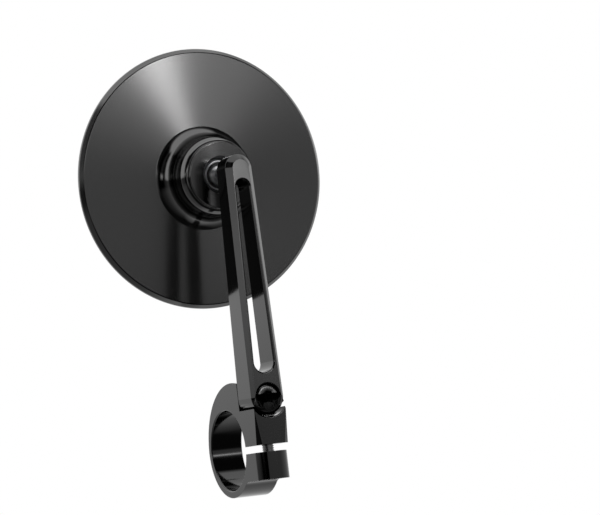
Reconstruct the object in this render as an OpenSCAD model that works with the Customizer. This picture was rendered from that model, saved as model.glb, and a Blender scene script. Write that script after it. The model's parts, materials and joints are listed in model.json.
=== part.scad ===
// Round mirror for the end of a motorcycle handlebar, turned and milled from black anodised aluminium.
// The origin is the centre of the clamp's bore. +X runs along the handlebar, +Z up the arm,
// and -Y is the side that carries the arm. The mirror hangs on a ball behind the arm's top.

/* [Handlebar clamp] */
// Diameter of the handlebar that the clamp grips
bar_d = 22.2; // [20:0.1:25.4]
// Wall of the thin lower ring
ring_wall = 2.0; // [1.5:0.1:4]
// Width of the clamp along the handlebar
clamp_w = 9.6; // [8.6:0.2:14]
// Distance from the bore's centre to the flat seat behind the arm's foot
seat_reach = 10.1; // [9.5:0.1:14]
// Height of the upstand behind the arm's foot, above the bore's centre
upstand_h = 18.5; // [18:0.1:24]
// Height of the slit's upper face above the bore's centre
slit_top = 0.3; // [-1:0.1:1.5]
// Width of the clamping slit
slit_w = 1.95; // [1:0.05:3]
// Height of the lower jaw, below the slit
jaw_h = 7.65; // [7:0.05:10]
// Bevel round the bore's two mouths
bore_bevel = 0.3; // [0.1:0.1:0.6]

/* [Clamp screw] */
// Distance of the clamp screw behind the upper block's front
screw_inset = 4.05; // [4:0.05:5]
// Outside diameter of the clamp screw's thread
clamp_screw_d = 3.5; // [3:0.1:4]
// Diameter of the clamp screw's head
clamp_head_d = 6.0; // [5.5:0.1:7]
// Height of the clamp screw's head
clamp_head_h = 3.5; // [3:0.1:4]

/* [Pivot] */
// Height of the arm's pivot above the bore's centre
pivot_z = 13.4; // [13.4:0.1:16]
// Outside diameter of the pivot screw's thread
pivot_screw_d = 4.0; // [3:0.1:4]
// Diameter of the pivot screw's head
pivot_head_d = 6.8; // [5.5:0.1:7]
// Height of the pivot screw's head
pivot_head_h = 3.9; // [3:0.1:4]
// Thickness of the friction washer between the arm's foot and its seat
washer_t = 0.5; // [0.3:0.05:1]

/* [Arm] */
// Distance from the pivot to the ball stud
arm_reach = 63.4; // [50:0.2:90]
// Width of the arm across the pivot
foot_w = 9.8; // [9:0.1:12]
// Width of the arm across the ball stud
top_w = 8.0; // [7:0.1:9]
// Depth of the arm at the pivot, front to back
foot_depth = 9.1; // [8:0.1:11]
// How far the front face leans back between the pivot and the ball stud
front_lean = 0.8; // [0:0.1:1.2]
// How far the back face leans forward between the pivot and the ball stud
back_lean = 1.1; // [0:0.1:1.4]
// Bevel of the front's long edges at the pivot
foot_bevel = 0.65; // [0.3:0.05:1]
// Bevel of the front's long edges at the ball stud
top_bevel = 1.2; // [0.4:0.05:1.4]
// Width of the slot at its lower end
slot_foot_w = 5.9; // [3:0.1:6.4]
// Width of the slot at its upper end
slot_top_w = 4.0; // [2:0.1:4.6]
// Radius of the foot's lower back corner
heel_r = 1.2; // [0.5:0.1:2]

/* [Ball joint] */
// Diameter of the ball
ball_d = 8.0; // [7:0.1:8.4]
// Diameter of the stud's neck
neck_d = 3.7; // [3:0.1:3.8]
// Distance from the arm's back face to the centre of the ball
ball_reach = 9.3; // [9:0.1:12]
// Radial clearance of each ball surface
ball_gap = 0.05; // [0.03:0.01:0.08]
// Wall of the spherical liner behind the ball
liner_wall = 0.55; // [0.4:0.05:0.7]
// Wall of the pressure cup round the liner
cup_wall = 0.7; // [0.5:0.05:0.9]
// How far the mirror's axis droops in the pose shown
rest_tilt = 3.6; // [-6:0.1:6]
// How far the mirror is turned sideways in the pose shown
rest_pan = -2.2; // [-6:0.1:6]

/* [Mirror head] */
// Diameter of the mirror head's rim
mirror_d = 73.6; // [60:0.2:90]
// Thickness of the rim, from its back edge to the edge of the coned face
rim_t = 2.2; // [2:0.1:4]
// Slope of the coned face, in degrees
cone_slope = 2.2; // [1:0.1:6]
// Distance from the ball's centre back to the rim's rear edge
rim_back = 12.0; // [12:0.1:14]
// Radius of the boss's cylinder
boss_r = 11.05; // [10.5:0.05:13]
// Height of the boss's shoulder in front of the ball's centre
shoulder_u = 0.9; // [0.6:0.05:1.2]
// Height of the boss's flat face in front of the ball's centre
face_u = 3.8; // [3.4:0.05:4.2]
// Radius of the boss's flat face
face_r = 9.45; // [8.5:0.05:9.8]
// Radius of the concave foot of the boss
boss_fillet = 6.0; // [5:0.1:8]
// How far the boss's foot reaches out along the coned face
boss_foot_w = 3.55; // [2:0.05:4.5]
// Radius of the mouth's edge on the flat face
mouth_r = 5.3; // [5:0.05:6]
// Thickness of the mirror glass at its centre
glass_t = 1.9; // [1.6:0.1:3]
// Radius of the glass's convex front
glass_curve_r = 1200; // [800:50:2000]
// Thickness of the adhesive pad behind the glass
pad_t = 0.2; // [0.2:0.05:0.8]

/* [Hidden] */
$fn = 96;
over = 1;

// Clamp, worked out from the bar
bore_r = bar_d / 2;
ring_shift = 0.35;
ring_r = bore_r + ring_wall + 0.1;
back_r = upstand_h + 0.3;
back_shift = 5.95;
web_r = 4;
slit_bottom = slit_top - slit_w;
jaw_bottom = slit_bottom - jaw_h;
jaw_r = clamp_w / 2 + 0.2;

// Arm's own planes
foot_r = foot_w / 2;
top_r = top_w / 2;
ball_z = pivot_z + arm_reach;
arm_back = -(seat_reach + washer_t);
arm_front = arm_back - foot_depth;
recess_gap = 0.8;
recess_r = foot_r + recess_gap;
recess_bevel = 0.3;
block_front = arm_front - 0.1;
screw_y = block_front + screw_inset;
block_top = pivot_z - 2.2;
head_depth = pivot_head_h + 0.3;
head_bore_r = pivot_head_d / 2 + 0.3;
head_bevel = 0.2;
pad_top = pivot_z + foot_r;
slot_foot_z = pivot_z + 6.6 + slot_foot_w / 2;
slot_top_z = ball_z - neck_d / 2 - 1.35 - slot_top_w / 2;
function front_at(z) = arm_front + front_lean * (z - pivot_z) / arm_reach;
function back_at(z) = arm_back - back_lean * max(0, z - pad_top) / (ball_z - pad_top);
function half_at(z) = foot_r + (top_r - foot_r) * (z - pivot_z) / arm_reach;
function bevel_at(z) = foot_bevel + (top_bevel - foot_bevel) * (z - pivot_z) / arm_reach;

// Ball and the spheres round it
ball_r = ball_d / 2;
neck_r = neck_d / 2;
ball_y = back_at(ball_z) + ball_reach;
seat_r = ball_r + ball_gap;
liner_r = seat_r + liner_wall;
cup_in_r = liner_r + ball_gap;
cup_r = cup_in_r + cup_wall;
thrust_in_r = cup_r + ball_gap;
liner_edge_u = -1.25;
stud_thread_d = 4.0;
stud_thread_l = 5.2;

// Sections of the mirror head, as radius and height in front of the ball's centre
rim_r = mirror_d / 2;
rim_step = 1.15;
cone_edge_r = rim_r - rim_step;
rim_rear_u = -rim_back;
cone_edge_u = rim_rear_u + rim_t;
boss_foot_r = boss_r + boss_foot_w;
boss_foot_u = cone_edge_u + (cone_edge_r - boss_foot_r) * tan(cone_slope);
fillet_u = boss_foot_u + sqrt(pow(boss_fillet, 2) - pow(boss_fillet - boss_foot_w, 2));
wall_t = 0.65;
floor_u = cone_edge_u - wall_t;
glass_recess_r = cone_edge_r - 0.35;
seat_rear_u = 0.9;
seat_front_u = 1.7;
lip_u = 2.3;
lip_r = sqrt(seat_r * seat_r - lip_u * lip_u);
seat_flange_r = cup_r + 0.5;
ring_in_r = lip_r + 0.37;
ring_out_r = ring_in_r + 0.5;
ring_front_u = lip_u;
ring_rear_u = ring_front_u - 0.3;
bore_step_u = -2.8;
plug_r = seat_flange_r + 2.1;
thrust_front_u = -3.1;
thrust_rear_u = -cup_r + 0.45;
spring_t = 0.45;
spring_dish = 0.45;
plug_rear_u = floor_u + 0.1;
spring_mid_u = thrust_rear_u - spring_t - spring_dish;
plug_front_u = spring_mid_u - spring_t - spring_dish;
glass_r = glass_recess_r - 0.25;
glass_front_u = floor_u - pad_t;

black_anodised = [0.09, 0.09, 0.1];
black_oxide = [0.05, 0.05, 0.055];
steel = [0.75, 0.76, 0.78];
black_acetal = [0.03, 0.03, 0.03];

// Puts a drawing of the side view, with Y across and Z up, on both sides of the middle plane
module along_bar(w) {
    rotate([90, 0, 90]) translate([0, 0, -w / 2]) linear_extrude(w) children();
}

// Puts a drawing of the front view, with X across and Z up, between two planes of constant Y
module front_to_back(y_from, y_to) {
    translate([0, y_to, 0]) rotate([90, 0, 0]) linear_extrude(y_to - y_from) children();
}

// Cylinder along Y whose front end is at y_from
module y_rod(r, y_from, y_to, z, sides = $fn) {
    translate([0, y_to, z]) rotate([90, 0, 0]) cylinder(r = r, h = y_to - y_from, $fn = sides);
}

// Places a child that is drawn on the mirror's axis: +Z there points out of the boss, to the rider's front
module on_mirror_axis() {
    translate([0, ball_y, ball_z]) rotate([rest_tilt, 0, rest_pan]) rotate([90, 0, 0]) children();
}

// Plain ring or washer on the local axis
module ring_between(r_in, r_out, u_from, u_to) {
    rotate_extrude() translate([r_in, u_from]) square([r_out - r_in, u_to - u_from]);
}

// Side view of the clamp without its bore
module clamp_outline() {
    translate([-ring_shift, 0]) circle(r = ring_r);
    intersection() {
        translate([-back_shift, upstand_h - back_r]) circle(r = back_r);
        translate([-seat_reach, 0]) square([seat_reach + ring_r + over, upstand_h]);
    }
    translate([block_front, slit_bottom]) square([-block_front - 7, block_top - slit_bottom]);
    translate([screw_y, jaw_bottom]) square([-screw_y - 7, slit_top - jaw_bottom]);
    jaw_web();
}

// Concave blend that runs from the lower jaw's underside into the ring
module jaw_web() {
    reach = ring_r + web_r;
    web_z = jaw_bottom - web_r;
    web_y = -ring_shift - sqrt(reach * reach - web_z * web_z);
    ring_y = -ring_shift + (web_y + ring_shift) * ring_r / reach;
    difference() {
        polygon([
            [web_y, web_z], [web_y, jaw_bottom + 0.5],
            [ring_y, jaw_bottom + 0.5], [ring_y, web_z * ring_r / reach]
        ]);
        translate([web_y, web_z]) circle(r = web_r);
    }
}

// One front corner of the upper block, cut to a facet that widens from nothing at its top
module block_facet() {
    facet_w = 1.35;
    facet_d = 1.1;
    facet_top = block_top - 1.2;
    facet_h = facet_top - slit_top;
    turn = atan(facet_w / facet_d);
    depth = facet_w * facet_d / norm([facet_w, facet_d]);
    translate([-clamp_w / 2, block_front, facet_top])
        rotate([0, 0, 180 + turn])
            rotate([0, atan(depth / facet_h), 0])
                translate([0, -10, -facet_h - slit_w / 2])
                    cube([10, 20, facet_h + slit_w / 2 + 2]);
}

// Split clamp: ring, upstand, block and lower jaw in one piece
module clamp_body() {
    color(black_anodised)
    difference() {
        union() {
            along_bar(clamp_w) clamp_outline();
            intersection() {
                translate([0, screw_y, jaw_bottom]) cylinder(r = jaw_r, h = jaw_h + slit_w);
                translate([-clamp_w / 2, screw_y - jaw_r, jaw_bottom])
                    cube([clamp_w, 2 * jaw_r, jaw_h + slit_w]);
            }
        }
        along_bar(clamp_w + 2 * over) circle(r = bore_r);
        for (side = [-1, 1])
            translate([side * (clamp_w / 2 + 0.01), 0, 0])
                rotate([0, -side * 90, 0])
                    cylinder(r1 = bore_r + bore_bevel + 0.01, r2 = bore_r, h = bore_bevel + 0.01);
        translate([-clamp_w, screw_y - 2 * jaw_r, slit_bottom])
            cube([2 * clamp_w, -screw_y + 2 * jaw_r - 6, slit_w]);
        y_rod(recess_r, block_front - over, -seat_reach, pivot_z);
        translate([0, block_front - 0.01, pivot_z])
            rotate([-90, 0, 0])
                cylinder(r1 = recess_r + recess_bevel + 0.01, r2 = recess_r, h = recess_bevel + 0.01);
        translate([-clamp_w, block_front - over, pivot_z - 0.01])
            cube([2 * clamp_w, -seat_reach - block_front + over, upstand_h]);
        for (side = [0, 1]) mirror([side, 0, 0]) block_facet();
        y_rod(pivot_screw_d / 2, -seat_reach - over, pivot_tip_y() + 0.4, pivot_z);
        translate([0, screw_y, jaw_bottom - over]) cylinder(d = clamp_head_d + 0.5, h = clamp_head_h + 0.4 + over);
        translate([0, screw_y, jaw_bottom - over]) cylinder(d = clamp_screw_d + 0.4, h = jaw_h + 1.2 * over);
        translate([0, screw_y, slit_top - over]) cylinder(d = clamp_screw_d, h = clamp_thread_l() + 0.4 + over);
    }
}

// How far the clamp screw reaches into the upper block
function clamp_thread_l() = pivot_z - recess_r - slit_top - 1.4;

// Where the pivot screw ends, just clear of the bore
function pivot_tip_y() = -seat_reach + 7.3;

// Socket-head screw on the local Z axis, its head's top at z = 0 and its shank below
module socket_screw(head_d, head_h, shank_d, length, hex_w) {
    round_r = 0.5;
    difference() {
        union() {
            translate([0, 0, -head_h]) cylinder(d = head_d, h = head_h - round_r);
            translate([0, 0, -round_r]) cylinder(d1 = head_d, d2 = head_d - 2 * round_r, h = round_r);
            translate([0, 0, -head_h - length]) cylinder(d = shank_d, h = length + 0.01);
        }
        translate([0, 0, -head_h * 0.6]) cylinder(d = hex_w / cos(30), h = head_h, $fn = 6);
        translate([0, 0, -0.15]) cylinder(d1 = hex_w / cos(30), d2 = hex_w / cos(30) + 0.4, h = 0.2);
    }
}

module clamp_screw() {
    color(black_oxide)
    translate([0, screw_y, jaw_bottom + 0.3])
        mirror([0, 0, 1])
            socket_screw(clamp_head_d, clamp_head_h, clamp_screw_d - 0.1, clamp_screw_l(), 3);
}

// Length of the clamp screw under its head, from the lower jaw's shelf to its end in the block
function clamp_screw_l() = slit_top + clamp_thread_l() - (jaw_bottom + 0.3 + clamp_head_h);

module pivot_screw() {
    head_top_y = arm_front + 0.3;
    color(black_oxide)
    translate([0, head_top_y, pivot_z])
        rotate([90, 0, 0])
            socket_screw(pivot_head_d, pivot_head_h, pivot_screw_d - 0.1,
                pivot_tip_y() - head_top_y - pivot_head_h, 3);
}

// Thin washer that the arm's foot turns on
module friction_washer() {
    color(black_acetal)
    difference() {
        y_rod(foot_r - 0.5, arm_back, -seat_reach, pivot_z);
        y_rod(pivot_screw_d / 2 + 0.05, arm_back - over, -seat_reach + over, pivot_z);
    }
}

// Front view of the arm: a full round at each end and straight tapering sides
module arm_front_view() {
    translate([0, pivot_z]) circle(r = foot_r);
    translate([0, ball_z]) circle(r = top_r);
    polygon([[-foot_r, pivot_z], [foot_r, pivot_z], [top_r, ball_z], [-top_r, ball_z]]);
}

// Side view of the arm: front and back faces that lean together above a flat pad, and a rounded heel
module arm_side_view() {
    top = ball_z + top_r + over;
    bottom = pivot_z - foot_r - over;
    heel_z = pivot_z - 2.6;
    difference() {
        polygon([
            [front_at(bottom), bottom], [arm_back, bottom], [arm_back, pad_top],
            [back_at(top), top], [front_at(top), top]
        ]);
        translate([arm_back - heel_r, bottom - over]) square([heel_r + over, heel_z + heel_r - bottom + over]);
    }
    translate([arm_back - heel_r, heel_z + heel_r]) circle(r = heel_r);
}

// Slot through the arm from front to back, wider at its foot
module slot_view() {
    foot = slot_foot_w / 2;
    top = slot_top_w / 2;
    translate([0, slot_foot_z]) circle(r = foot);
    translate([0, slot_top_z]) circle(r = top);
    polygon([[-foot, slot_foot_z], [foot, slot_foot_z], [top, slot_top_z], [-top, slot_top_z]]);
}

// Cutter for the bevel along one long front edge, wider towards the top
module long_bevel() {
    rise = half_at(pivot_z) - half_at(ball_z) + front_lean + top_bevel - foot_bevel;
    lean = -rise / sqrt(2) / arm_reach;
    translate([-foot_r, arm_front + foot_bevel, pivot_z])
        rotate([0, atan(lean), 225])
            translate([0, -10, -foot_r])
                cube([10, 20, arm_reach + 2 * foot_r]);
}

// Cone that bevels the round end at the pivot or at the ball stud
module end_bevel(z, r, bevel) {
    front = front_at(z);
    difference() {
        y_rod(r + 3, front - 1.9, front + bevel, z);
        translate([0, front + bevel + 0.01, z])
            rotate([90, 0, 0])
                cylinder(r1 = r + 0.01, r2 = r - bevel - 1.99, h = bevel + 2);
    }
}

// Whether the arm's solid is above or below a height
module arm_span(z_from, z_to) {
    translate([-10, arm_front - 10, z_from]) cube([20, 30, z_to - z_from]);
}

module arm() {
    color(black_anodised)
    difference() {
        intersection() {
            front_to_back(arm_front - over, arm_back + over) arm_front_view();
            along_bar(foot_w + 2 * over) arm_side_view();
        }
        for (side = [0, 1]) mirror([side, 0, 0]) long_bevel();
        intersection() {
            end_bevel(ball_z, top_r, top_bevel);
            arm_span(ball_z, ball_z + 10);
        }
        intersection() {
            end_bevel(pivot_z, foot_r, foot_bevel);
            arm_span(pivot_z - 10, pivot_z);
        }
        front_to_back(arm_front - over, arm_back + over) slot_view();
        y_rod(head_bore_r, arm_front - over, arm_front + head_depth, pivot_z);
        translate([0, arm_front - over, pivot_z])
            rotate([-90, 0, 0])
                cylinder(r1 = head_bore_r + head_bevel + over, r2 = head_bore_r, h = head_bevel + over);
        y_rod(pivot_screw_d / 2 + 0.05, arm_front, arm_back + over, pivot_z);
        y_rod(stud_thread_d / 2, back_at(ball_z) - stud_thread_l - 0.3, arm_back + over, ball_z);
    }
}

// Chrome ball on a neck, screwed into the arm's back
module ball_stud() {
    back = back_at(ball_z);
    color(steel) {
        translate([0, ball_y, ball_z]) rotate([90, 0, 0]) sphere(r = ball_r);
        y_rod(neck_r, back - 0.01, ball_y - ball_r * 0.6, ball_z);
        y_rod(neck_r + 0.55, back + 0.06, back + 0.9, ball_z);
        y_rod(stud_thread_d / 2 - 0.03, back - stud_thread_l, back, ball_z);
    }
}

// Spherical shell behind the ball, open at its front and pierced at its back
module back_shell(r_in, r_out, hole_r) {
    difference() {
        sphere(r = r_out);
        sphere(r = r_in);
        translate([0, 0, liner_edge_u]) cylinder(r = 2 * r_out, h = 2 * r_out);
        translate([0, 0, -2 * r_out]) cylinder(r = hole_r, h = 2 * r_out);
    }
}

// Plastic liner that bears on the back of the ball
module ball_liner() {
    color(black_acetal)
    on_mirror_axis() back_shell(seat_r, liner_r, 1.5);
}

// Steel cup that presses the liner on the ball
module pressure_cup() {
    color(steel)
    on_mirror_axis() back_shell(cup_in_r, cup_r, 1.5);
}

// Half section of the mirror head's outside, from the rim's rear edge to the boss's face
module housing_section() {
    shoulder_r = 0.7;
    face_edge = 0.4;
    rim_flat = 0.8;
    rear_bevel = 0.3;
    lip_wall_u = shoulder_u + 0.9;
    polygon([
        [0, floor_u],
        [glass_recess_r, floor_u],
        [glass_recess_r, rim_rear_u + rear_bevel],
        [glass_recess_r + rear_bevel, rim_rear_u],
        [rim_r - rear_bevel, rim_rear_u],
        [rim_r, rim_rear_u + rear_bevel],
        [rim_r, rim_rear_u + rim_flat],
        [cone_edge_r + 0.3, cone_edge_u - 0.3],
        [cone_edge_r, cone_edge_u],
        [boss_foot_r, boss_foot_u],
        [boss_r, fillet_u],
        [boss_r, shoulder_u - shoulder_r],
        [boss_r - shoulder_r * 0.3, shoulder_u - shoulder_r * 0.3],
        [boss_r - shoulder_r, shoulder_u + 0.1],
        [face_r + 0.3, lip_wall_u],
        [face_r, lip_wall_u + 0.3],
        [face_r, face_u - face_edge],
        [face_r - face_edge, face_u],
        [0, face_u]
    ]);
}

// Dished head with its boss, open at the front for the ball's neck and at the back for the glass
module mirror_housing() {
    color(black_anodised)
    on_mirror_axis()
    difference() {
        rotate_extrude() housing_section();
        rotate_extrude()
            intersection() {
                translate([boss_r + boss_fillet, fillet_u]) circle(r = boss_fillet);
                translate([boss_r - 0.5, boss_foot_u]) square([boss_foot_w + 0.5, boss_fillet]);
            }
        translate([0, 0, floor_u - over]) cylinder(r = plug_r, h = bore_step_u - floor_u + over);
        translate([0, 0, floor_u]) cylinder(r = seat_flange_r, h = seat_front_u - floor_u);
        translate([0, 0, 0]) cylinder(r = ring_out_r, h = face_u + over);
        translate([0, 0, ring_front_u])
            cylinder(r1 = ring_out_r, r2 = mouth_r, h = face_u - ring_front_u + 0.01);
    }
}

// Bright ring round the mouth, on a step of the front seat
module seat_ring() {
    color(steel)
    on_mirror_axis() ring_between(ring_in_r, ring_out_r, ring_rear_u, ring_front_u);
}

// Plastic ring that the front of the ball bears on, with a flange behind the housing's lip
module front_seat() {
    color(black_acetal)
    on_mirror_axis()
    difference() {
        union() {
            translate([0, 0, seat_rear_u]) cylinder(r = seat_flange_r, h = seat_front_u - seat_rear_u);
            translate([0, 0, seat_rear_u]) cylinder(r = ring_out_r, h = ring_rear_u - seat_rear_u);
            translate([0, 0, seat_rear_u]) cylinder(r = ring_in_r, h = lip_u - seat_rear_u);
        }
        sphere(r = seat_r);
    }
}

// Washer with a spherical seat for the pressure cup
module thrust_ring() {
    color(steel)
    on_mirror_axis()
    difference() {
        translate([0, 0, thrust_rear_u]) cylinder(r = plug_r - 0.2, h = thrust_front_u - thrust_rear_u);
        sphere(r = thrust_in_r);
    }
}

// Dished spring washer whose outer edge lies in front of its inner one when dish is positive
module disc_spring(u, dish) {
    inner = 3.6;
    outer = plug_r - 0.4;
    low = min(dish, 0);
    rotate_extrude()
        polygon([
            [inner, u - low], [outer, u - low + dish],
            [outer, u - low + dish + spring_t], [inner, u - low + spring_t]
        ]);
}

module disc_spring_front() {
    color(steel)
    on_mirror_axis() disc_spring(spring_mid_u, spring_dish);
}

module disc_spring_rear() {
    color(steel)
    on_mirror_axis() disc_spring(plug_front_u, -spring_dish);
}

// Threaded plug that sets the ball's friction, with two holes for a pin spanner
module adjuster_plug() {
    color(steel)
    on_mirror_axis()
    difference() {
        translate([0, 0, plug_rear_u]) cylinder(r = plug_r, h = plug_front_u - plug_rear_u);
        translate([0, 0, plug_rear_u - over]) cylinder(r = 2.5, h = plug_front_u - plug_rear_u + 2 * over);
        for (side = [-1, 1])
            translate([side * 5.2, 0, plug_rear_u - over]) cylinder(r = 0.9, h = 1.8 + over);
    }
}

module adhesive_pad() {
    color(black_acetal)
    on_mirror_axis() ring_between(plug_r + 2, glass_r - 1, glass_front_u, floor_u);
}

// Convex glass: flat where it is bonded, and part of a large sphere on the side that shows
module mirror_glass() {
    rings = 12;
    color(steel)
    on_mirror_axis()
    rotate_extrude()
        polygon(concat(
            [[0, glass_front_u]],
            [for (i = [0:rings]) glass_point(i / rings)],
            [[glass_r, glass_front_u]]
        ));
}

// Point on the glass's convex side, from its centre at 0 to its edge at 1
function glass_point(part) = let (r = glass_r * part)
    [r, glass_front_u - glass_t + glass_curve_r - sqrt(pow(glass_curve_r, 2) - r * r)];

clamp_body();
clamp_screw();
pivot_screw();
friction_washer();
arm();
ball_stud();
ball_liner();
pressure_cup();
mirror_housing();
seat_ring();
front_seat();
thrust_ring();
disc_spring_front();
disc_spring_rear();
adjuster_plug();
adhesive_pad();
mirror_glass();
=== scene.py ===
import bpy, bmesh, json, math
from mathutils import Matrix, Vector


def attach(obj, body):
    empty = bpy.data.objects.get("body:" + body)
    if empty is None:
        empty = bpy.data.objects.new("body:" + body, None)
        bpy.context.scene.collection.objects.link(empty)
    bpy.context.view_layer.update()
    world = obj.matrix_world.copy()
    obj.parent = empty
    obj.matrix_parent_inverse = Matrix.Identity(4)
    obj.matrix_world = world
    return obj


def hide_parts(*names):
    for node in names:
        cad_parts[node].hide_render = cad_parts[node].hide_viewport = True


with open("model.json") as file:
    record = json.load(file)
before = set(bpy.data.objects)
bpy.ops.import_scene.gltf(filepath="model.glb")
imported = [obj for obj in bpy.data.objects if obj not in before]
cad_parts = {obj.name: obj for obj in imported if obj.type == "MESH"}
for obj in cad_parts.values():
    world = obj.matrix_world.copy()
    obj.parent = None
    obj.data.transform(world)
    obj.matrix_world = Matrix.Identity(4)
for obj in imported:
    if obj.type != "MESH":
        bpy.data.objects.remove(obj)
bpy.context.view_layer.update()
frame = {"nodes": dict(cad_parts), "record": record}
nodes = frame["nodes"]
print("frame loaded:", len(nodes), "nodes")

mm = 0.001
record = frame["record"]
bodyOf = {name: body for body, names in record["behaviour"]["bodies"].items() for name in names}
centreOf = {joint["name"]: [c / mm for c in joint["pos_m"]] for joint in record["behaviour"]["joints"]}
pivotHeight = centreOf["arm_pivot"][2]
ballCentre = centreOf["mirror_pan"]
ballHeight = ballCentre[2]


def placed(at, *turns):
    # a place in mm, with turns in degrees about named axes that follow it
    place = Matrix.Translation([c * mm for c in at])
    for angle, axis in turns:
        place = place @ Matrix.Rotation(math.radians(angle), 4, axis)
    return place


headPlace = placed(ballCentre, (-2.2, "Z"), (3.6, "X"), (90, "X"))  # to one side and up, then facing forward
studPlace = placed(ballCentre, (90, "X"))


def linear(hexColour):
    # sRGB hex to linear, with alpha 1
    parts = [int(hexColour[i:i + 2], 16) / 255 for i in (1, 3, 5)]
    return [c / 12.92 if c <= 0.04045 else ((c + 0.055) / 1.055) ** 2.4 for c in parts] + [1.0]


def addNode(tree, kind, settings=None, links=None):
    # one node: settings go to its inputs by name or number, or else to its own fields
    node = tree.nodes.new(kind)
    for key, value in (settings or {}).items():
        if isinstance(key, int) or key in node.inputs:
            node.inputs[key].default_value = value
        else:
            setattr(node, key, value)
    for key, socket in (links or {}).items():
        tree.links.new(socket, node.inputs[key])
    return node


def newMaterial(name):
    material = bpy.data.materials.new(name)
    material.use_nodes = True
    material.node_tree.nodes.clear()
    return material, material.node_tree


def addPiece(name, bm, material, node):
    # turns a finished bmesh into the piece that stands for a CAD node
    bmesh.ops.remove_doubles(bm, verts=bm.verts, dist=1e-6)
    bmesh.ops.recalc_face_normals(bm, faces=bm.faces)
    for face in bm.faces:
        face.smooth = True
    mesh = bpy.data.meshes.new(name)
    bm.to_mesh(mesh)
    bm.free()
    mesh.materials.append(material)
    piece = bpy.data.objects.new(name, mesh)
    bpy.context.scene.collection.objects.link(piece)
    weighted = piece.modifiers.new("flat faces stay flat", "WEIGHTED_NORMAL")
    weighted.weight = 50
    weighted.keep_sharp = False
    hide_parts(node)
    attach(piece, bodyOf[node])


def rounded(bm, geom, width, parts, kind="EDGES"):
    # one bevel of a width in mm, on edges or on the corners of a profile
    return bmesh.ops.bevel(bm, geom=geom, offset=width * mm, offset_type="OFFSET", segments=parts,
                           profile=0.5, affect=kind, material=-1)


def vertsOf(geom):
    return [item for item in geom if isinstance(item, bmesh.types.BMVert)]


def openEdgesOf(geom):
    return [item for item in geom if isinstance(item, bmesh.types.BMEdge) and len(item.link_faces) == 1]


def wire(bm, outline, closed=False, start=None, parts=5):
    # a profile in the XZ plane from points of radius, height and corner round in mm
    corners = [bm.verts.new((point[0] * mm, 0, point[1] * mm)) for point in outline]
    chain = ([start] if start else []) + corners
    for one, other in zip(chain, chain[1:]):
        bm.edges.new((one, other))
    if closed:
        bm.edges.new((chain[-1], chain[0]))
    for corner, point in zip(corners, outline):
        if len(point) > 2:
            rounded(bm, [corner], point[2], 14 if point[2] > 1 else parts, "VERTICES")


def turn(bm, steps, place, narrow=0.16, mapUnit=10):
    # spins the profile about Z, marks the bands narrower than narrow as edges, and lays a UV map:
    # U once round the axis, V across the section in units of mapUnit
    bmesh.ops.spin(bm, geom=bm.verts[:] + bm.edges[:], cent=(0, 0, 0), axis=(0, 0, 1),
                   angle=2 * math.pi, steps=steps, use_merge=True, use_duplicate=False)
    bmesh.ops.remove_doubles(bm, verts=bm.verts, dist=1e-6)
    uvs = bm.loops.layers.uv.new("turned")
    edge = bm.faces.layers.float.new("edge")
    for face in bm.faces:
        middle = face.calc_center_median()
        base = math.atan2(middle.y, middle.x)
        radii = [math.hypot(v.co.x, v.co.y) for v in face.verts]
        heights = [v.co.z for v in face.verts]
        size = math.hypot(max(radii) - min(radii), max(heights) - min(heights))
        face[edge] = 1.0 if size < narrow * mm else 0.0
        for loop in face.loops:
            co = loop.vert.co
            angle = math.atan2(co.y, co.x)
            angle += 2 * math.pi * round((base - angle) / (2 * math.pi))
            radius = math.hypot(co.x, co.y)
            loop[uvs].uv = (angle / (2 * math.pi), (radius - co.z) / mm / mapUnit)
    bmesh.ops.transform(bm, matrix=place, verts=bm.verts)


def merged(node):
    # a welded copy of a CAD node, whose own mesh is loose triangles
    bm = bmesh.new()
    bm.from_mesh(nodes[node].data)
    bmesh.ops.remove_doubles(bm, verts=bm.verts, dist=2e-6)
    flattened(bm)
    bmesh.ops.recalc_face_normals(bm, faces=bm.faces)
    return bm


def flattened(bm):
    # joins triangles that lie in one plane
    bmesh.ops.dissolve_limit(bm, angle_limit=math.radians(0.5), verts=bm.verts, edges=bm.edges)


def refined(node, bm, width, material, sharpest=24):
    # rounds the edges of a merged copy that are sharper than an angle in degrees
    edge = bm.faces.layers.float.new("edge")
    sharp = [e for e in bm.edges
             if len(e.link_faces) == 2 and e.calc_face_angle() > math.radians(sharpest)]
    for face in rounded(bm, sharp, width, 2)["faces"]:
        face[edge] = 1.0
    addPiece(node + "_refined", bm, material, node)


# materials: they read the piece's own coordinates, and in most a noise from 0.3 to 0.7 drives the roughness
# milled and anodised: a sharp dark mirror, which the eye reads as hard, sealed black metal
milled = {
    "colour": "#424242", "worn": "#565656", "roughness": (0.07, 0.11), "wear": (0.35, 0.9),
    "streak": (900, 900, 60), "cloud": 90.0, "bump": 0.25, "depth": 0.002,
}
milledBlack, tree = newMaterial("milled black anodised aluminium")
place = addNode(tree, "ShaderNodeTexCoord")
grain = addNode(tree, "ShaderNodeMapping", {"Scale": milled["streak"]}, {"Vector": place.outputs["Object"]})
lines = addNode(tree, "ShaderNodeTexNoise", {"Scale": 1.0, "Detail": 3.0}, {"Vector": grain.outputs[0]})
cloud = addNode(tree, "ShaderNodeTexNoise", {"Scale": milled["cloud"], "Detail": 4.0},
                {"Vector": place.outputs["Object"]})
edge = addNode(tree, "ShaderNodeAttribute", {"attribute_name": "edge"})
scuff = addNode(tree, "ShaderNodeMapRange",
                {"From Min": 0.35, "From Max": 0.65,
                 "To Min": milled["wear"][0], "To Max": milled["wear"][1]},
                {"Value": cloud.outputs["Fac"]})
worn = addNode(tree, "ShaderNodeMath", {"operation": "MULTIPLY"},
               {0: edge.outputs["Fac"], 1: scuff.outputs[0]})
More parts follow.
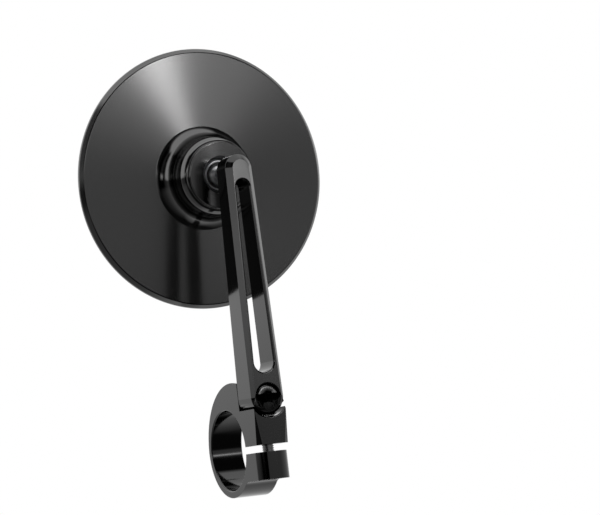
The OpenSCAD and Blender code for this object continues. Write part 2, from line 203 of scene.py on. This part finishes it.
colour = addNode(tree, "ShaderNodeMix",
                 {"data_type": "RGBA", 6: linear(milled["colour"]), 7: linear(milled["worn"])},
                 {0: worn.outputs[0]})
rough = addNode(tree, "ShaderNodeMapRange",
                {"From Min": 0.3, "From Max": 0.7,
                 "To Min": milled["roughness"][0], "To Max": milled["roughness"][1]},
                {"Value": cloud.outputs["Fac"]})
bump = addNode(tree, "ShaderNodeBump", {"Strength": milled["bump"], "Distance": milled["depth"] * mm},
               {"Height": lines.outputs["Fac"]})
shader = addNode(tree, "ShaderNodeBsdfPrincipled", {"Metallic": 1.0},
                 {"Base Color": colour.outputs[2], "Roughness": rough.outputs[0], "Normal": bump.outputs[0]})
addNode(tree, "ShaderNodeOutputMaterial", {}, {"Surface": shader.outputs[0]})

# turned and anodised: the lathe's fine grooves fan one light out along the radius
# faceEnd and polishEnd are places along V: where the boss's front face ends, and where its polish gives way
# to the brushed cone
turned = {
    "colour": "#595959", "worn": "#666666", "wear": (0.2, 0.8), "cloud": 60.0,
    "roughness": 0.17, "polished": 0.1, "face": 0.15, "faceEnd": (0.52, 0.6), "polishEnd": (2.2, 2.33),
    "uneven": (0.92, 1.08), "pitch": 90, "bump": 0.2, "depth": 0.003, "anisotropic": 0.74,
}
turnedBlack, tree = newMaterial("turned black anodised aluminium")
flow = addNode(tree, "ShaderNodeUVMap", {"uv_map": "turned"})
across = addNode(tree, "ShaderNodeSeparateXYZ", {}, {0: flow.outputs[0]})
ringAt = addNode(tree, "ShaderNodeMath", {"operation": "MULTIPLY", 1: turned["pitch"]},
                 {0: across.outputs["Y"]})
rings = addNode(tree, "ShaderNodeTexNoise",
                {"noise_dimensions": "1D", "Scale": 1.0, "Detail": 4.0, "Roughness": 0.6},
                {"W": ringAt.outputs[0]})
place = addNode(tree, "ShaderNodeTexCoord")
cloud = addNode(tree, "ShaderNodeTexNoise", {"Scale": turned["cloud"], "Detail": 3.0},
                {"Vector": place.outputs["Object"]})
edge = addNode(tree, "ShaderNodeAttribute", {"attribute_name": "edge"})
scuff = addNode(tree, "ShaderNodeMapRange",
                {"From Min": 0.35, "From Max": 0.65,
                 "To Min": turned["wear"][0], "To Max": turned["wear"][1]},
                {"Value": cloud.outputs["Fac"]})
worn = addNode(tree, "ShaderNodeMath", {"operation": "MULTIPLY"},
               {0: edge.outputs["Fac"], 1: scuff.outputs[0]})
colour = addNode(tree, "ShaderNodeMix",
                 {"data_type": "RGBA", 6: linear(turned["colour"]), 7: linear(turned["worn"])},
                 {0: worn.outputs[0]})
brushed = addNode(tree, "ShaderNodeMapRange",
                  {"From Min": turned["polishEnd"][0], "From Max": turned["polishEnd"][1],
                   "To Min": turned["polished"], "To Max": turned["roughness"]},
                  {"Value": across.outputs["Y"]})
face = addNode(tree, "ShaderNodeMapRange",
               {"From Min": turned["faceEnd"][0], "From Max": turned["faceEnd"][1],
                "To Min": turned["face"], "To Max": 0.0},
               {"Value": across.outputs["Y"]})
brushed = addNode(tree, "ShaderNodeMath", {"operation": "MAXIMUM"},
                  {0: brushed.outputs[0], 1: face.outputs[0]})
uneven = addNode(tree, "ShaderNodeMapRange",
                 {"From Min": 0.3, "From Max": 0.7,
                  "To Min": turned["uneven"][0], "To Max": turned["uneven"][1]},
                 {"Value": rings.outputs["Fac"]})
rough = addNode(tree, "ShaderNodeMath", {"operation": "MULTIPLY"},
                {0: brushed.outputs[0], 1: uneven.outputs[0]})
groove = addNode(tree, "ShaderNodeBump", {"Strength": turned["bump"], "Distance": turned["depth"] * mm},
                 {"Height": rings.outputs["Fac"]})
along = addNode(tree, "ShaderNodeTangent", {"direction_type": "UV_MAP", "uv_map": "turned"})
shader = addNode(tree, "ShaderNodeBsdfPrincipled",
                 {"Metallic": 1.0, "Anisotropic": turned["anisotropic"], "Anisotropic Rotation": 0.25},
                 {"Base Color": colour.outputs[2], "Roughness": rough.outputs[0],
                  "Normal": groove.outputs[0], "Tangent": along.outputs[0]})
addNode(tree, "ShaderNodeOutputMaterial", {}, {"Surface": shader.outputs[0]})

# finishes with one fine grain, which differ only in their values
grained = {
    # polished by tumbling: small bright lights with a soft edge
    "bright plated steel": {"colour": "#c9cacc", "metal": 1.0, "roughness": (0.3, 0.42),
                            "grain": 500.0, "detail": 4.0, "bump": 0.15, "depth": 0.004},
    # on the screws: a little rougher and greyer than the anodising
    "oiled black oxide steel": {"colour": "#626262", "metal": 1.0, "roughness": (0.14, 0.22),
                                "grain": 700.0, "detail": 5.0, "bump": 0.3, "depth": 0.006},
    # grey and plain, straight from the rolling mill
    "rolled spring steel": {"colour": "#8b8c8e", "metal": 1.0, "roughness": (0.28, 0.42),
                            "grain": 900.0, "detail": 5.0, "bump": 0.3, "depth": 0.008},
    # a waxy low gloss
    "moulded black acetal": {"colour": "#0d0d0e", "metal": 0.0, "roughness": (0.32, 0.45),
                             "grain": 800.0, "detail": 4.0, "bump": 0.3, "depth": 0.01},
}
grainedMaterials = []
for name, finish in grained.items():
    material, tree = newMaterial(name)
    place = addNode(tree, "ShaderNodeTexCoord")
    cloud = addNode(tree, "ShaderNodeTexNoise", {"Scale": finish["grain"], "Detail": finish["detail"]},
                    {"Vector": place.outputs["Object"]})
    rough = addNode(tree, "ShaderNodeMapRange",
                    {"From Min": 0.3, "From Max": 0.7,
                     "To Min": finish["roughness"][0], "To Max": finish["roughness"][1]},
                    {"Value": cloud.outputs["Fac"]})
    bump = addNode(tree, "ShaderNodeBump", {"Strength": finish["bump"], "Distance": finish["depth"] * mm},
                   {"Height": cloud.outputs["Fac"]})
    shader = addNode(tree, "ShaderNodeBsdfPrincipled",
                     {"Base Color": linear(finish["colour"]), "Metallic": finish["metal"]},
                     {"Roughness": rough.outputs[0], "Normal": bump.outputs[0]})
    addNode(tree, "ShaderNodeOutputMaterial", {}, {"Surface": shader.outputs[0]})
    grainedMaterials.append(material)
platedSteel, blackOxide, springSteel, blackAcetal = grainedMaterials

# closed-cell foam tape: dull, with open bubbles at its cut edge
foam = {"colour": "#1c1c1d", "roughness": (0.9, 1.0), "cells": 5000.0, "bump": 0.6, "depth": 0.03}
adhesiveFoam, tree = newMaterial("double-sided foam tape")
place = addNode(tree, "ShaderNodeTexCoord")
cells = addNode(tree, "ShaderNodeTexVoronoi", {"Scale": foam["cells"]}, {"Vector": place.outputs["Object"]})
bump = addNode(tree, "ShaderNodeBump", {"Strength": foam["bump"], "Distance": foam["depth"] * mm},
               {"Height": cells.outputs["Distance"]})
rough = addNode(tree, "ShaderNodeMapRange",
                {"To Min": foam["roughness"][0], "To Max": foam["roughness"][1]},
                {"Value": cells.outputs["Distance"]})
shader = addNode(tree, "ShaderNodeBsdfPrincipled", {"Base Color": linear(foam["colour"])},
                 {"Roughness": rough.outputs[0], "Normal": bump.outputs[0]})
addNode(tree, "ShaderNodeOutputMaterial", {}, {"Surface": shader.outputs[0]})

# silvered glass: a clear picture, softened a little by wiped fingerprints
glass = {"colour": "#e4e8e8", "roughness": (0.01, 0.05), "smears": 60.0, "smeared": 1.5, "coat": 0.5,
         "bump": 0.05, "depth": 0.001}
silvered, tree = newMaterial("silvered convex glass")
place = addNode(tree, "ShaderNodeTexCoord")
cloud = addNode(tree, "ShaderNodeTexNoise",
                {"Scale": glass["smears"], "Detail": 6.0, "Distortion": glass["smeared"]},
                {"Vector": place.outputs["Object"]})
rough = addNode(tree, "ShaderNodeMapRange",
                {"From Min": 0.5, "From Max": 0.75,
                 "To Min": glass["roughness"][0], "To Max": glass["roughness"][1]},
                {"Value": cloud.outputs["Fac"]})
bump = addNode(tree, "ShaderNodeBump", {"Strength": glass["bump"], "Distance": glass["depth"] * mm},
               {"Height": cloud.outputs["Fac"]})
shader = addNode(tree, "ShaderNodeBsdfPrincipled",
                 {"Base Color": linear(glass["colour"]), "Metallic": 1.0,
                  "Coat Weight": glass["coat"], "Coat Roughness": 0.02},
                 {"Roughness": rough.outputs[0], "Normal": bump.outputs[0]})
addNode(tree, "ShaderNodeOutputMaterial", {}, {"Surface": shader.outputs[0]})
print("materials made:", len(bpy.data.materials))

# mirror head: one closed section, from the glass's recess round the rim, over the cone and boss to the mouth
housing = {
    "steps": 240,
    "section": [
        (7.95, -10.45), (35.3, -10.45, 0.1), (35.3, -12, 0.3), (36.8, -12, 0.3), (36.8, -11.0, 0.2),
        (35.72, -9.8, 0.25), (14.6, -8.99, 0.1), (11.05, -7.4, 3.6), (11.05, 0.55, 0.5), (10.0, 2.0, 0.35),
        (9.45, 2.15, 0.12), (9.45, 3.8, 0.38), (5.3, 3.8, 0.1), (4.2, 2.3), (4.2, 1.7),
        (5.85, 1.7), (5.85, -2.8), (7.95, -2.8),
    ],
}
bm = bmesh.new()
wire(bm, housing["section"], closed=True)
turn(bm, housing["steps"], headPlace)
addPiece("turned_head", bm, turnedBlack, "mirror_housing")

# bright ring in the mouth
trimRing = {"steps": 96, "section": [(3.7, 2.0), (3.7, 2.3, 0.06), (4.2, 2.3, 0.08), (4.2, 2.0)]}
bm = bmesh.new()
wire(bm, trimRing["section"], closed=True)
turn(bm, trimRing["steps"], headPlace)
addPiece("mouth_ring", bm, platedSteel, "seat_ring")


def arcFromPole(bm, low, radius, sweep, rings):
    # an arc in the XZ plane that starts on the axis, and the vertex at its end
    pole = bm.verts.new((0, 0, low * mm))
    arc = bmesh.ops.spin(bm, geom=[pole], cent=(0, 0, (low + radius) * mm), axis=(0, 1, 0),
                         angle=-sweep, steps=rings)
    return vertsOf(arc["geom_last"])[0]


# glass: its convex side is an arc of a large radius
lens = {"steps": 192, "edge": 35.05, "flat": -10.65, "middle": -12.55, "curve": 1200, "rings": 24,
        "ground": 0.25}
bm = bmesh.new()
tip = arcFromPole(bm, lens["middle"], lens["curve"], math.asin(lens["edge"] / lens["curve"]), lens["rings"])
wire(bm, [(lens["edge"], lens["flat"]), (0, lens["flat"])], start=tip)
rounded(bm, [tip], lens["ground"], 3, "VERTICES")
turn(bm, lens["steps"], headPlace)
addPiece("convex_glass", bm, silvered, "mirror_glass")

# ball stud: the ball's arc ends where it meets the neck, and the neck widens to a collar on the arm's back
stud = {
    "steps": 96, "ball": 4.0, "neck": 1.85, "rings": 40, "fillet": 0.35,
    "section": [(1.85, 8.4, 0.3), (2.4, 8.4, 0.1), (2.4, 9.24), (1.97, 9.24), (1.97, 14.3, 0.3), (0, 14.5)],
}
bm = bmesh.new()
meeting = arcFromPole(bm, -stud["ball"], stud["ball"], math.pi - math.asin(stud["neck"] / stud["ball"]),
                      stud["rings"])
wire(bm, stud["section"], start=meeting, parts=4)
rounded(bm, [meeting], stud["fillet"], 5, "VERTICES")
turn(bm, stud["steps"], studPlace)
addPiece("ball_and_neck", bm, platedSteel, "ball_stud")


def socketHead(screw):
    # hexagon and rim as loops of 48 edges, bridged to make the top, then both extruded down and capped
    bm = bmesh.new()
    hexRadius = screw["hex"] / math.cos(math.radians(30)) * mm
    inner = bmesh.ops.create_circle(bm, segments=6, radius=hexRadius, cap_ends=False)["verts"]
    bmesh.ops.subdivide_edges(bm, edges=list({e for v in inner for e in v.link_edges}), cuts=7)
    socket = bm.edges[:]
    outer = bmesh.ops.create_circle(bm, segments=48, radius=screw["head"] * mm, cap_ends=False)["verts"]
    rim = list({e for v in outer for e in v.link_edges})
    bmesh.ops.bridge_loops(bm, edges=socket + rim)
    for loop, depth in ((rim, screw["height"]), (socket, screw["height"] * screw["socket"])):
        walls = bmesh.ops.extrude_edge_only(bm, edges=loop)["geom"]
        bmesh.ops.translate(bm, verts=vertsOf(walls), vec=(0, 0, -depth * mm))
        bmesh.ops.contextual_create(bm, geom=openEdgesOf(walls))
    bmesh.ops.recalc_face_normals(bm, faces=bm.faces)
    rounded(bm, [e for e in rim if e.is_valid], screw["round"], 6)
    mouth = [e for e in bm.edges if all(abs(v.co.z) < 1e-7 for v in e.verts) and len(e.link_faces) == 2
             and e.calc_face_angle() > 0.8]
    rounded(bm, mouth, screw["broken"], 2)
    return bm


def threadedShank(screw, perTurn=32):
    # a plain shank down to a thinner root, and a helical ridge whose turns weld at the root
    low = -screw["height"] - screw["length"]
    threadFrom = low + screw["threaded"]
    root = screw["shank"] - 0.55 * screw["pitch"]
    bm = bmesh.new()
    wire(bm, [(0, low + 0.05), (root - 0.1, low + 0.05), (root, low + 0.4), (root, threadFrom),
              (screw["shank"], threadFrom + 0.5), (screw["shank"], -screw["height"])])
    turn(bm, 48, Matrix.Identity(4))
    flank = [(root, 0), (screw["shank"], screw["pitch"] / 2), (root, screw["pitch"])]
    ends = [bm.verts.new((radius * mm, 0, (low + 0.1 + rise) * mm)) for radius, rise in flank]
    ridge = [bm.edges.new(ends[:2]), bm.edges.new(ends[1:])]
    turns = int((screw["threaded"] - 0.2) / screw["pitch"]) - 1
    bmesh.ops.spin(bm, geom=ends + ridge, cent=(0, 0, 0), axis=(0, 0, 1),
                   dvec=(0, 0, screw["pitch"] / perTurn * mm), angle=2 * math.pi * turns,
                   steps=perTurn * turns)
    mesh = bpy.data.meshes.new("shank")
    bm.to_mesh(mesh)
    bm.free()
    return mesh


capScrews = [
    {"name": "pivot_cap_screw", "node": "pivot_screw", "head": 3.4, "round": 0.75, "height": 3.9,
     "hex": 1.35, "socket": 0.6, "broken": 0.14, "shank": 1.95, "length": 12.7, "pitch": 0.7, "threaded": 7.4,
     "place": placed((0, -19.4, pivotHeight), (90, "X"), (12, "Z"))},
    {"name": "clamp_cap_screw", "node": "clamp_screw", "head": 3.0, "round": 0.45, "height": 3.5,
     "hex": 1.5, "socket": 0.6, "broken": 0.14, "shank": 1.7, "length": 11.8, "pitch": 0.6, "threaded": 10.4,
     "place": placed((0, -15.75, -9.0), (180, "X"))},
]
for screw in capScrews:
    bm = socketHead(screw)
    shank = threadedShank(screw)
    bm.from_mesh(shank)
    bpy.data.meshes.remove(shank)
    bmesh.ops.transform(bm, matrix=screw["place"], verts=bm.verts)
    addPiece(screw["name"], bm, blackOxide, screw["node"])
print("turned pieces made")


# arm: the bevel round its outline is cut a share deeper, and the slot's mouth gets one of its own
bevels = {"foot": 0.65, "top": 1.2, "deeper": 0.3, "slot": 0.42, "slotFrom": 20}


def facesFront(face):
    return face.normal.y < -0.9


def isOutlineBevel(face):
    # slanted, and facing away from the line between the arm's two end centres
    middle = face.calc_center_median()
    onLine = min(max(middle.z, pivotHeight * mm), ballHeight * mm)
    outside = middle.x * face.normal.x + (middle.z - onLine) * face.normal.z
    return -0.86 < face.normal.y < -0.5 and outside > 0


def deepenBevel(bm):
    # the bevel's front edge moves inwards along the tilted front, and its side edge moves back by as much
    tilt = max((f for f in bm.faces if facesFront(f)), key=lambda f: f.calc_area()).normal.copy()
    bmesh.ops.triangulate(bm, faces=[f for f in bm.faces if facesFront(f)])
    outwards = {}
    for face in bm.faces:
        if isOutlineBevel(face):
            for vert in face.verts:
                outwards[vert] = outwards.get(vert, Vector()) + Vector((face.normal.x, 0, face.normal.z))
    moves = {}
    for vert, outward in outwards.items():
        share = min(max((vert.co.z / mm - pivotHeight) / (ballHeight - pivotHeight), 0), 1)
        width = (bevels["foot"] + (bevels["top"] - bevels["foot"]) * share) * mm
        step = Vector((0, bevels["deeper"] * width, 0))
        if any(facesFront(f) for f in vert.link_faces):
            step = outward.normalized() * -bevels["deeper"] * width
            step.y = -(step.x * tilt.x + step.z * tilt.z) / tilt.y
        moves[vert] = step
    for vert, step in moves.items():
        vert.co += step
    bmesh.ops.recalc_face_normals(bm, faces=bm.faces)


def bevelSlot(bm):
    # one flat cut along the slot's mouth on the front
    mouth = []
    for e in bm.edges:
        middle = (e.verts[0].co + e.verts[1].co) / 2
        oneFront = len(e.link_faces) == 2 and sum(facesFront(f) for f in e.link_faces) == 1
        if oneFront and e.calc_face_angle() > 1.2 and middle.z > bevels["slotFrom"] * mm:
            mouth.append(e)
    rounded(bm, mouth, bevels["slot"], 1)
    flattened(bm)


armMesh = merged("arm")
deepenBevel(armMesh)
bevelSlot(armMesh)
refined("arm", armMesh, 0.06, milledBlack)
print("arm made")

# the clamp, and what the boss hides, with the round of each piece's edges
finishes = [
    ("clamp_body", 0.08, milledBlack), ("friction_washer", 0.05, blackAcetal),
    ("ball_liner", 0.05, blackAcetal), ("front_seat", 0.04, blackAcetal), ("pressure_cup", 0.06, platedSteel),
    ("thrust_ring", 0.12, platedSteel), ("disc_spring_front", 0.06, springSteel),
    ("disc_spring_rear", 0.06, springSteel), ("adjuster_plug", 0.15, platedSteel),
    ("adhesive_pad", 0.03, adhesiveFoam),
]
for node, width, material in finishes:
    refined(node, merged(node), width, material)


def azimuth(tree, vector):
    # 0 and 1 straight behind the object, 0.5 straight in front of it, 0.75 towards -X
    split = addNode(tree, "ShaderNodeSeparateXYZ", {}, {0: vector})
    angle = addNode(tree, "ShaderNodeMath", {"operation": "ARCTAN2"},
                    {0: split.outputs["X"], 1: split.outputs["Y"]})
    turns = addNode(tree, "ShaderNodeMath", {"operation": "DIVIDE", 1: 2 * math.pi}, {0: angle.outputs[0]})
    wrapped = addNode(tree, "ShaderNodeMath", {"operation": "WRAP", 1: 1.0, 2: 0.0}, {0: turns.outputs[0]})
    return wrapped.outputs[0]


def steps(tree, factor, stops):
    # grey levels along a factor, as pairs of place and level
    ramp = addNode(tree, "ShaderNodeValToRGB", {}, {0: factor})
    points = ramp.color_ramp.elements
    while len(points) < len(stops):
        points.new(0.5)
    for point, (at, level) in zip(points, stops):
        point.position = at
        point.color = (level, level, level, 1)
    return ramp.outputs[0]


def degrees(stops, scale=1.0):
    return [((at + 180) / 360, level * scale) for at, level in stops]


# what the black metal mirrors, as pairs of azimuth and level: 0 degrees is the front, 90 is towards -X
around = {
    "floor": [(-180, 1.0), (-110, 0.9), (-70, 0.3), (-40, 0.03), (38, 0.02), (70, 0.13), (90, 0.3),
              (125, 0.6), (165, 1.0)],
    "horizon": [(-180, 1.0), (-125, 0.9), (-85, 0.75), (-50, 0.39), (33.5, 0.37), (36.5, 0.0), (72, 0.0),
                (95, 0.235), (118, 0.42), (150, 0.9)],
    "wall": [(-180, 1.3), (-85, 1.3), (-50, 0.5), (33.5, 0.5), (36.5, 0.0), (53, 0.0), (57, 1.7), (68, 1.7),
             (70, 0.0), (79, 0.0), (84, 1.6), (150, 1.3)],
    "glow": [(-180, 0.0), (-80, 0.0), (-45, 0.15), (-28, 0.35), (-26, 1.0), (-23, 1.0), (-14, 0.8),
             (0, 0.5), (33, 0.1), (36, 0.0), (180, 0.0)],
    "darkCeiling": [(-180, 0.0), (-110, 0.2), (-80, 1.0), (76, 1.0), (84, 0.0)],
    "slowRise": [(-180, 0.0), (33.5, 0.0), (36.5, 1.0), (84, 1.0), (92, 0.0)],
}
# the same by height, where 0 is level with the object and 1 is straight up
upwards = {
    "quick": (0.02, 0.07), "slow": (0.02, 0.14), "top": (0.74, 0.82),
    "darkCeiling": [(0.12, 0.0), (0.22, 0.95), (0.74, 0.95), (0.82, 0.0)],
    "glow": [(0.035, 0.0), (0.065, 0.07), (0.09, 0.14), (0.103, 0.33), (0.117, 1.0), (0.127, 0.95),
             (0.14, 0.6), (0.17, 0.2), (0.21, 0.02), (0.3, 0.0)],
}

# floor: white to the eye and plain paper to the lamp, but in reflections only white close by and behind
paper = {"size": 6.0, "height": -70, "white": (0.05, 0.09), "far": (0.45, 0.9), "colour": (0.8, 0.8, 0.8, 1)}
floorMesh = bpy.data.meshes.new("floor")
bm = bmesh.new()
bmesh.ops.create_grid(bm, x_segments=1, y_segments=1, size=paper["size"])
bmesh.ops.translate(bm, vec=(0, 0, paper["height"] * mm), verts=bm.verts)
bm.to_mesh(floorMesh)
bm.free()
floor = bpy.data.objects.new("floor", floorMesh)
bpy.context.scene.collection.objects.link(floor)
whitePaper, tree = newMaterial("white paper floor")
place = addNode(tree, "ShaderNodeTexCoord")
far = addNode(tree, "ShaderNodeVectorMath", {"operation": "LENGTH"}, {0: place.outputs["Object"]})
near = addNode(tree, "ShaderNodeMapRange",
               {"From Min": paper["white"][0], "From Max": paper["white"][1], "To Min": 1.0, "To Max": 0.0},
               {"Value": far.outputs["Value"]})
distant = addNode(tree, "ShaderNodeMapRange", {"From Min": paper["far"][0], "From Max": paper["far"][1]},
                  {"Value": far.outputs["Value"]})
bearing = azimuth(tree, place.outputs["Object"])
outer = addNode(tree, "ShaderNodeMix", {"data_type": "FLOAT"},
                {0: distant.outputs[0], 2: steps(tree, bearing, degrees(around["floor"])),
                 3: steps(tree, bearing, degrees(around["horizon"]))})
mirrored = addNode(tree, "ShaderNodeMix", {"data_type": "FLOAT", 3: 1.0},
                   {0: near.outputs[0], 2: outer.outputs[0]})
path = addNode(tree, "ShaderNodeLightPath")
glossy = addNode(tree, "ShaderNodeMath", {"operation": "MAXIMUM"},
                 {0: path.outputs["Is Glossy Ray"], 1: path.outputs["Is Transmission Ray"]})
level = addNode(tree, "ShaderNodeMix", {"data_type": "FLOAT", 2: 1.0},
                {0: glossy.outputs[0], 3: mirrored.outputs[0]})
seen = addNode(tree, "ShaderNodeMath", {"operation": "MAXIMUM"},
               {0: path.outputs["Is Camera Ray"], 1: glossy.outputs[0]})
diffuse = addNode(tree, "ShaderNodeBsdfDiffuse", {"Color": paper["colour"]})
white = addNode(tree, "ShaderNodeEmission", {"Color": (1, 1, 1, 1)}, {"Strength": level.outputs[0]})
mix = addNode(tree, "ShaderNodeMixShader", {},
              {0: seen.outputs[0], 1: diffuse.outputs[0], 2: white.outputs[0]})
addNode(tree, "ShaderNodeOutputMaterial", {}, {"Surface": mix.outputs[0]})
floorMesh.materials.append(whitePaper)

# room: in front grey with a low glow and dark above it, towards -X dark but for a bright strip,
# and white behind and straight overhead
room = {"wallScale": 2.0, "top": 1.5, "glow": 4.6}
world = bpy.data.worlds.new("studio")
bpy.context.scene.world = world
world.use_nodes = True
tree = world.node_tree
tree.nodes.clear()
place = addNode(tree, "ShaderNodeTexCoord")
split = addNode(tree, "ShaderNodeSeparateXYZ", {}, {0: place.outputs["Generated"]})
height = split.outputs["Z"]
bearing = azimuth(tree, place.outputs["Generated"])
quick, slow = [
    addNode(tree, "ShaderNodeMapRange", {"From Min": upwards[rise][0], "From Max": upwards[rise][1]},
            {"Value": height})
    for rise in ("quick", "slow")
]
above = addNode(tree, "ShaderNodeMix", {"data_type": "FLOAT"},
                {0: steps(tree, bearing, degrees(around["slowRise"])),
                 2: quick.outputs[0], 3: slow.outputs[0]})
# a ramp stops at 1, so the wall is halved in it and doubled after it
wall = addNode(tree, "ShaderNodeMath", {"operation": "MULTIPLY", 1: room["wallScale"]},
               {0: steps(tree, bearing, degrees(around["wall"], 1 / room["wallScale"]))})
top = addNode(tree, "ShaderNodeMapRange", {"From Min": upwards["top"][0], "From Max": upwards["top"][1]},
              {"Value": height})
wall = addNode(tree, "ShaderNodeMix", {"data_type": "FLOAT", 3: room["top"]},
               {0: top.outputs[0], 2: wall.outputs[0]})
walls = addNode(tree, "ShaderNodeMix", {"data_type": "FLOAT"},
                {0: above.outputs[0], 2: steps(tree, bearing, degrees(around["horizon"])),
                 3: wall.outputs[0]})
ceiling = addNode(tree, "ShaderNodeMath", {"operation": "MULTIPLY"},
                  {0: steps(tree, height, upwards["darkCeiling"]),
                   1: steps(tree, bearing, degrees(around["darkCeiling"]))})
uncovered = addNode(tree, "ShaderNodeMath", {"operation": "SUBTRACT", 0: 1.0}, {1: ceiling.outputs[0]})
walls = addNode(tree, "ShaderNodeMath", {"operation": "MULTIPLY"},
                {0: walls.outputs[0], 1: uncovered.outputs[0]})
glow = addNode(tree, "ShaderNodeMath", {"operation": "MULTIPLY"},
               {0: steps(tree, height, upwards["glow"]), 1: steps(tree, bearing, degrees(around["glow"]))})
level = addNode(tree, "ShaderNodeMath", {"operation": "MULTIPLY_ADD", 1: room["glow"]},
                {0: glow.outputs[0], 2: walls.outputs[0]})
path = addNode(tree, "ShaderNodeLightPath")
shown = addNode(tree, "ShaderNodeMix", {"data_type": "FLOAT", 3: 1.0},
                {0: path.outputs["Is Camera Ray"], 2: level.outputs[0]})
back = addNode(tree, "ShaderNodeBackground", {"Color": (1, 1, 1, 1)}, {"Strength": shown.outputs[0]})
addNode(tree, "ShaderNodeOutputWorld", {}, {"Surface": back.outputs[0]})

# key softbox: low and compact, to the camera's right, for the fan on the turned disc
key = {"place": (0.263, -0.845, 0.241), "aim": (0, 0, 0.077), "size": (0.05, 0.12), "power": 0.3}
keyData = bpy.data.lights.new("key softbox", "AREA")
keyData.shape = "RECTANGLE"
keyData.size, keyData.size_y = key["size"]
keyData.energy = key["power"]
keyLamp = bpy.data.objects.new("key softbox", keyData)
bpy.context.scene.collection.objects.link(keyLamp)
keyLamp.location = key["place"]
keyLamp.rotation_euler = (Vector(key["aim"]) - Vector(key["place"])).to_track_quat("-Z", "Y").to_euler()
keyLamp.visible_camera = False
print("studio made")

# camera: fitted to the photograph, with its three directions in the object's frame
view = {
    "lens": 210, "sensor": 36, "near": 0.05, "place": (-0.41412519, -0.88508818, -0.01848149),
    "right": (0.8937463852476197, -0.43345835811935896, -0.11546103512996414),
    "down": (-0.07223906734376925, 0.1149557165477284, -0.990740480843647),
    "forward": (0.44271765, 0.89381152, 0.07142863),
}
cameraData = bpy.data.cameras.new("camera")
cameraData.sensor_width = view["sensor"]
cameraData.lens = view["lens"]
cameraData.clip_start = view["near"]
camera = bpy.data.objects.new("camera", cameraData)
bpy.context.scene.collection.objects.link(camera)
facing = Matrix((view["right"], -Vector(view["down"]), -Vector(view["forward"]))).transposed()
camera.matrix_world = Matrix.Translation(view["place"]) @ facing.to_4x4()
bpy.context.scene.camera = camera
bpy.context.scene.view_settings.view_transform = "Standard"
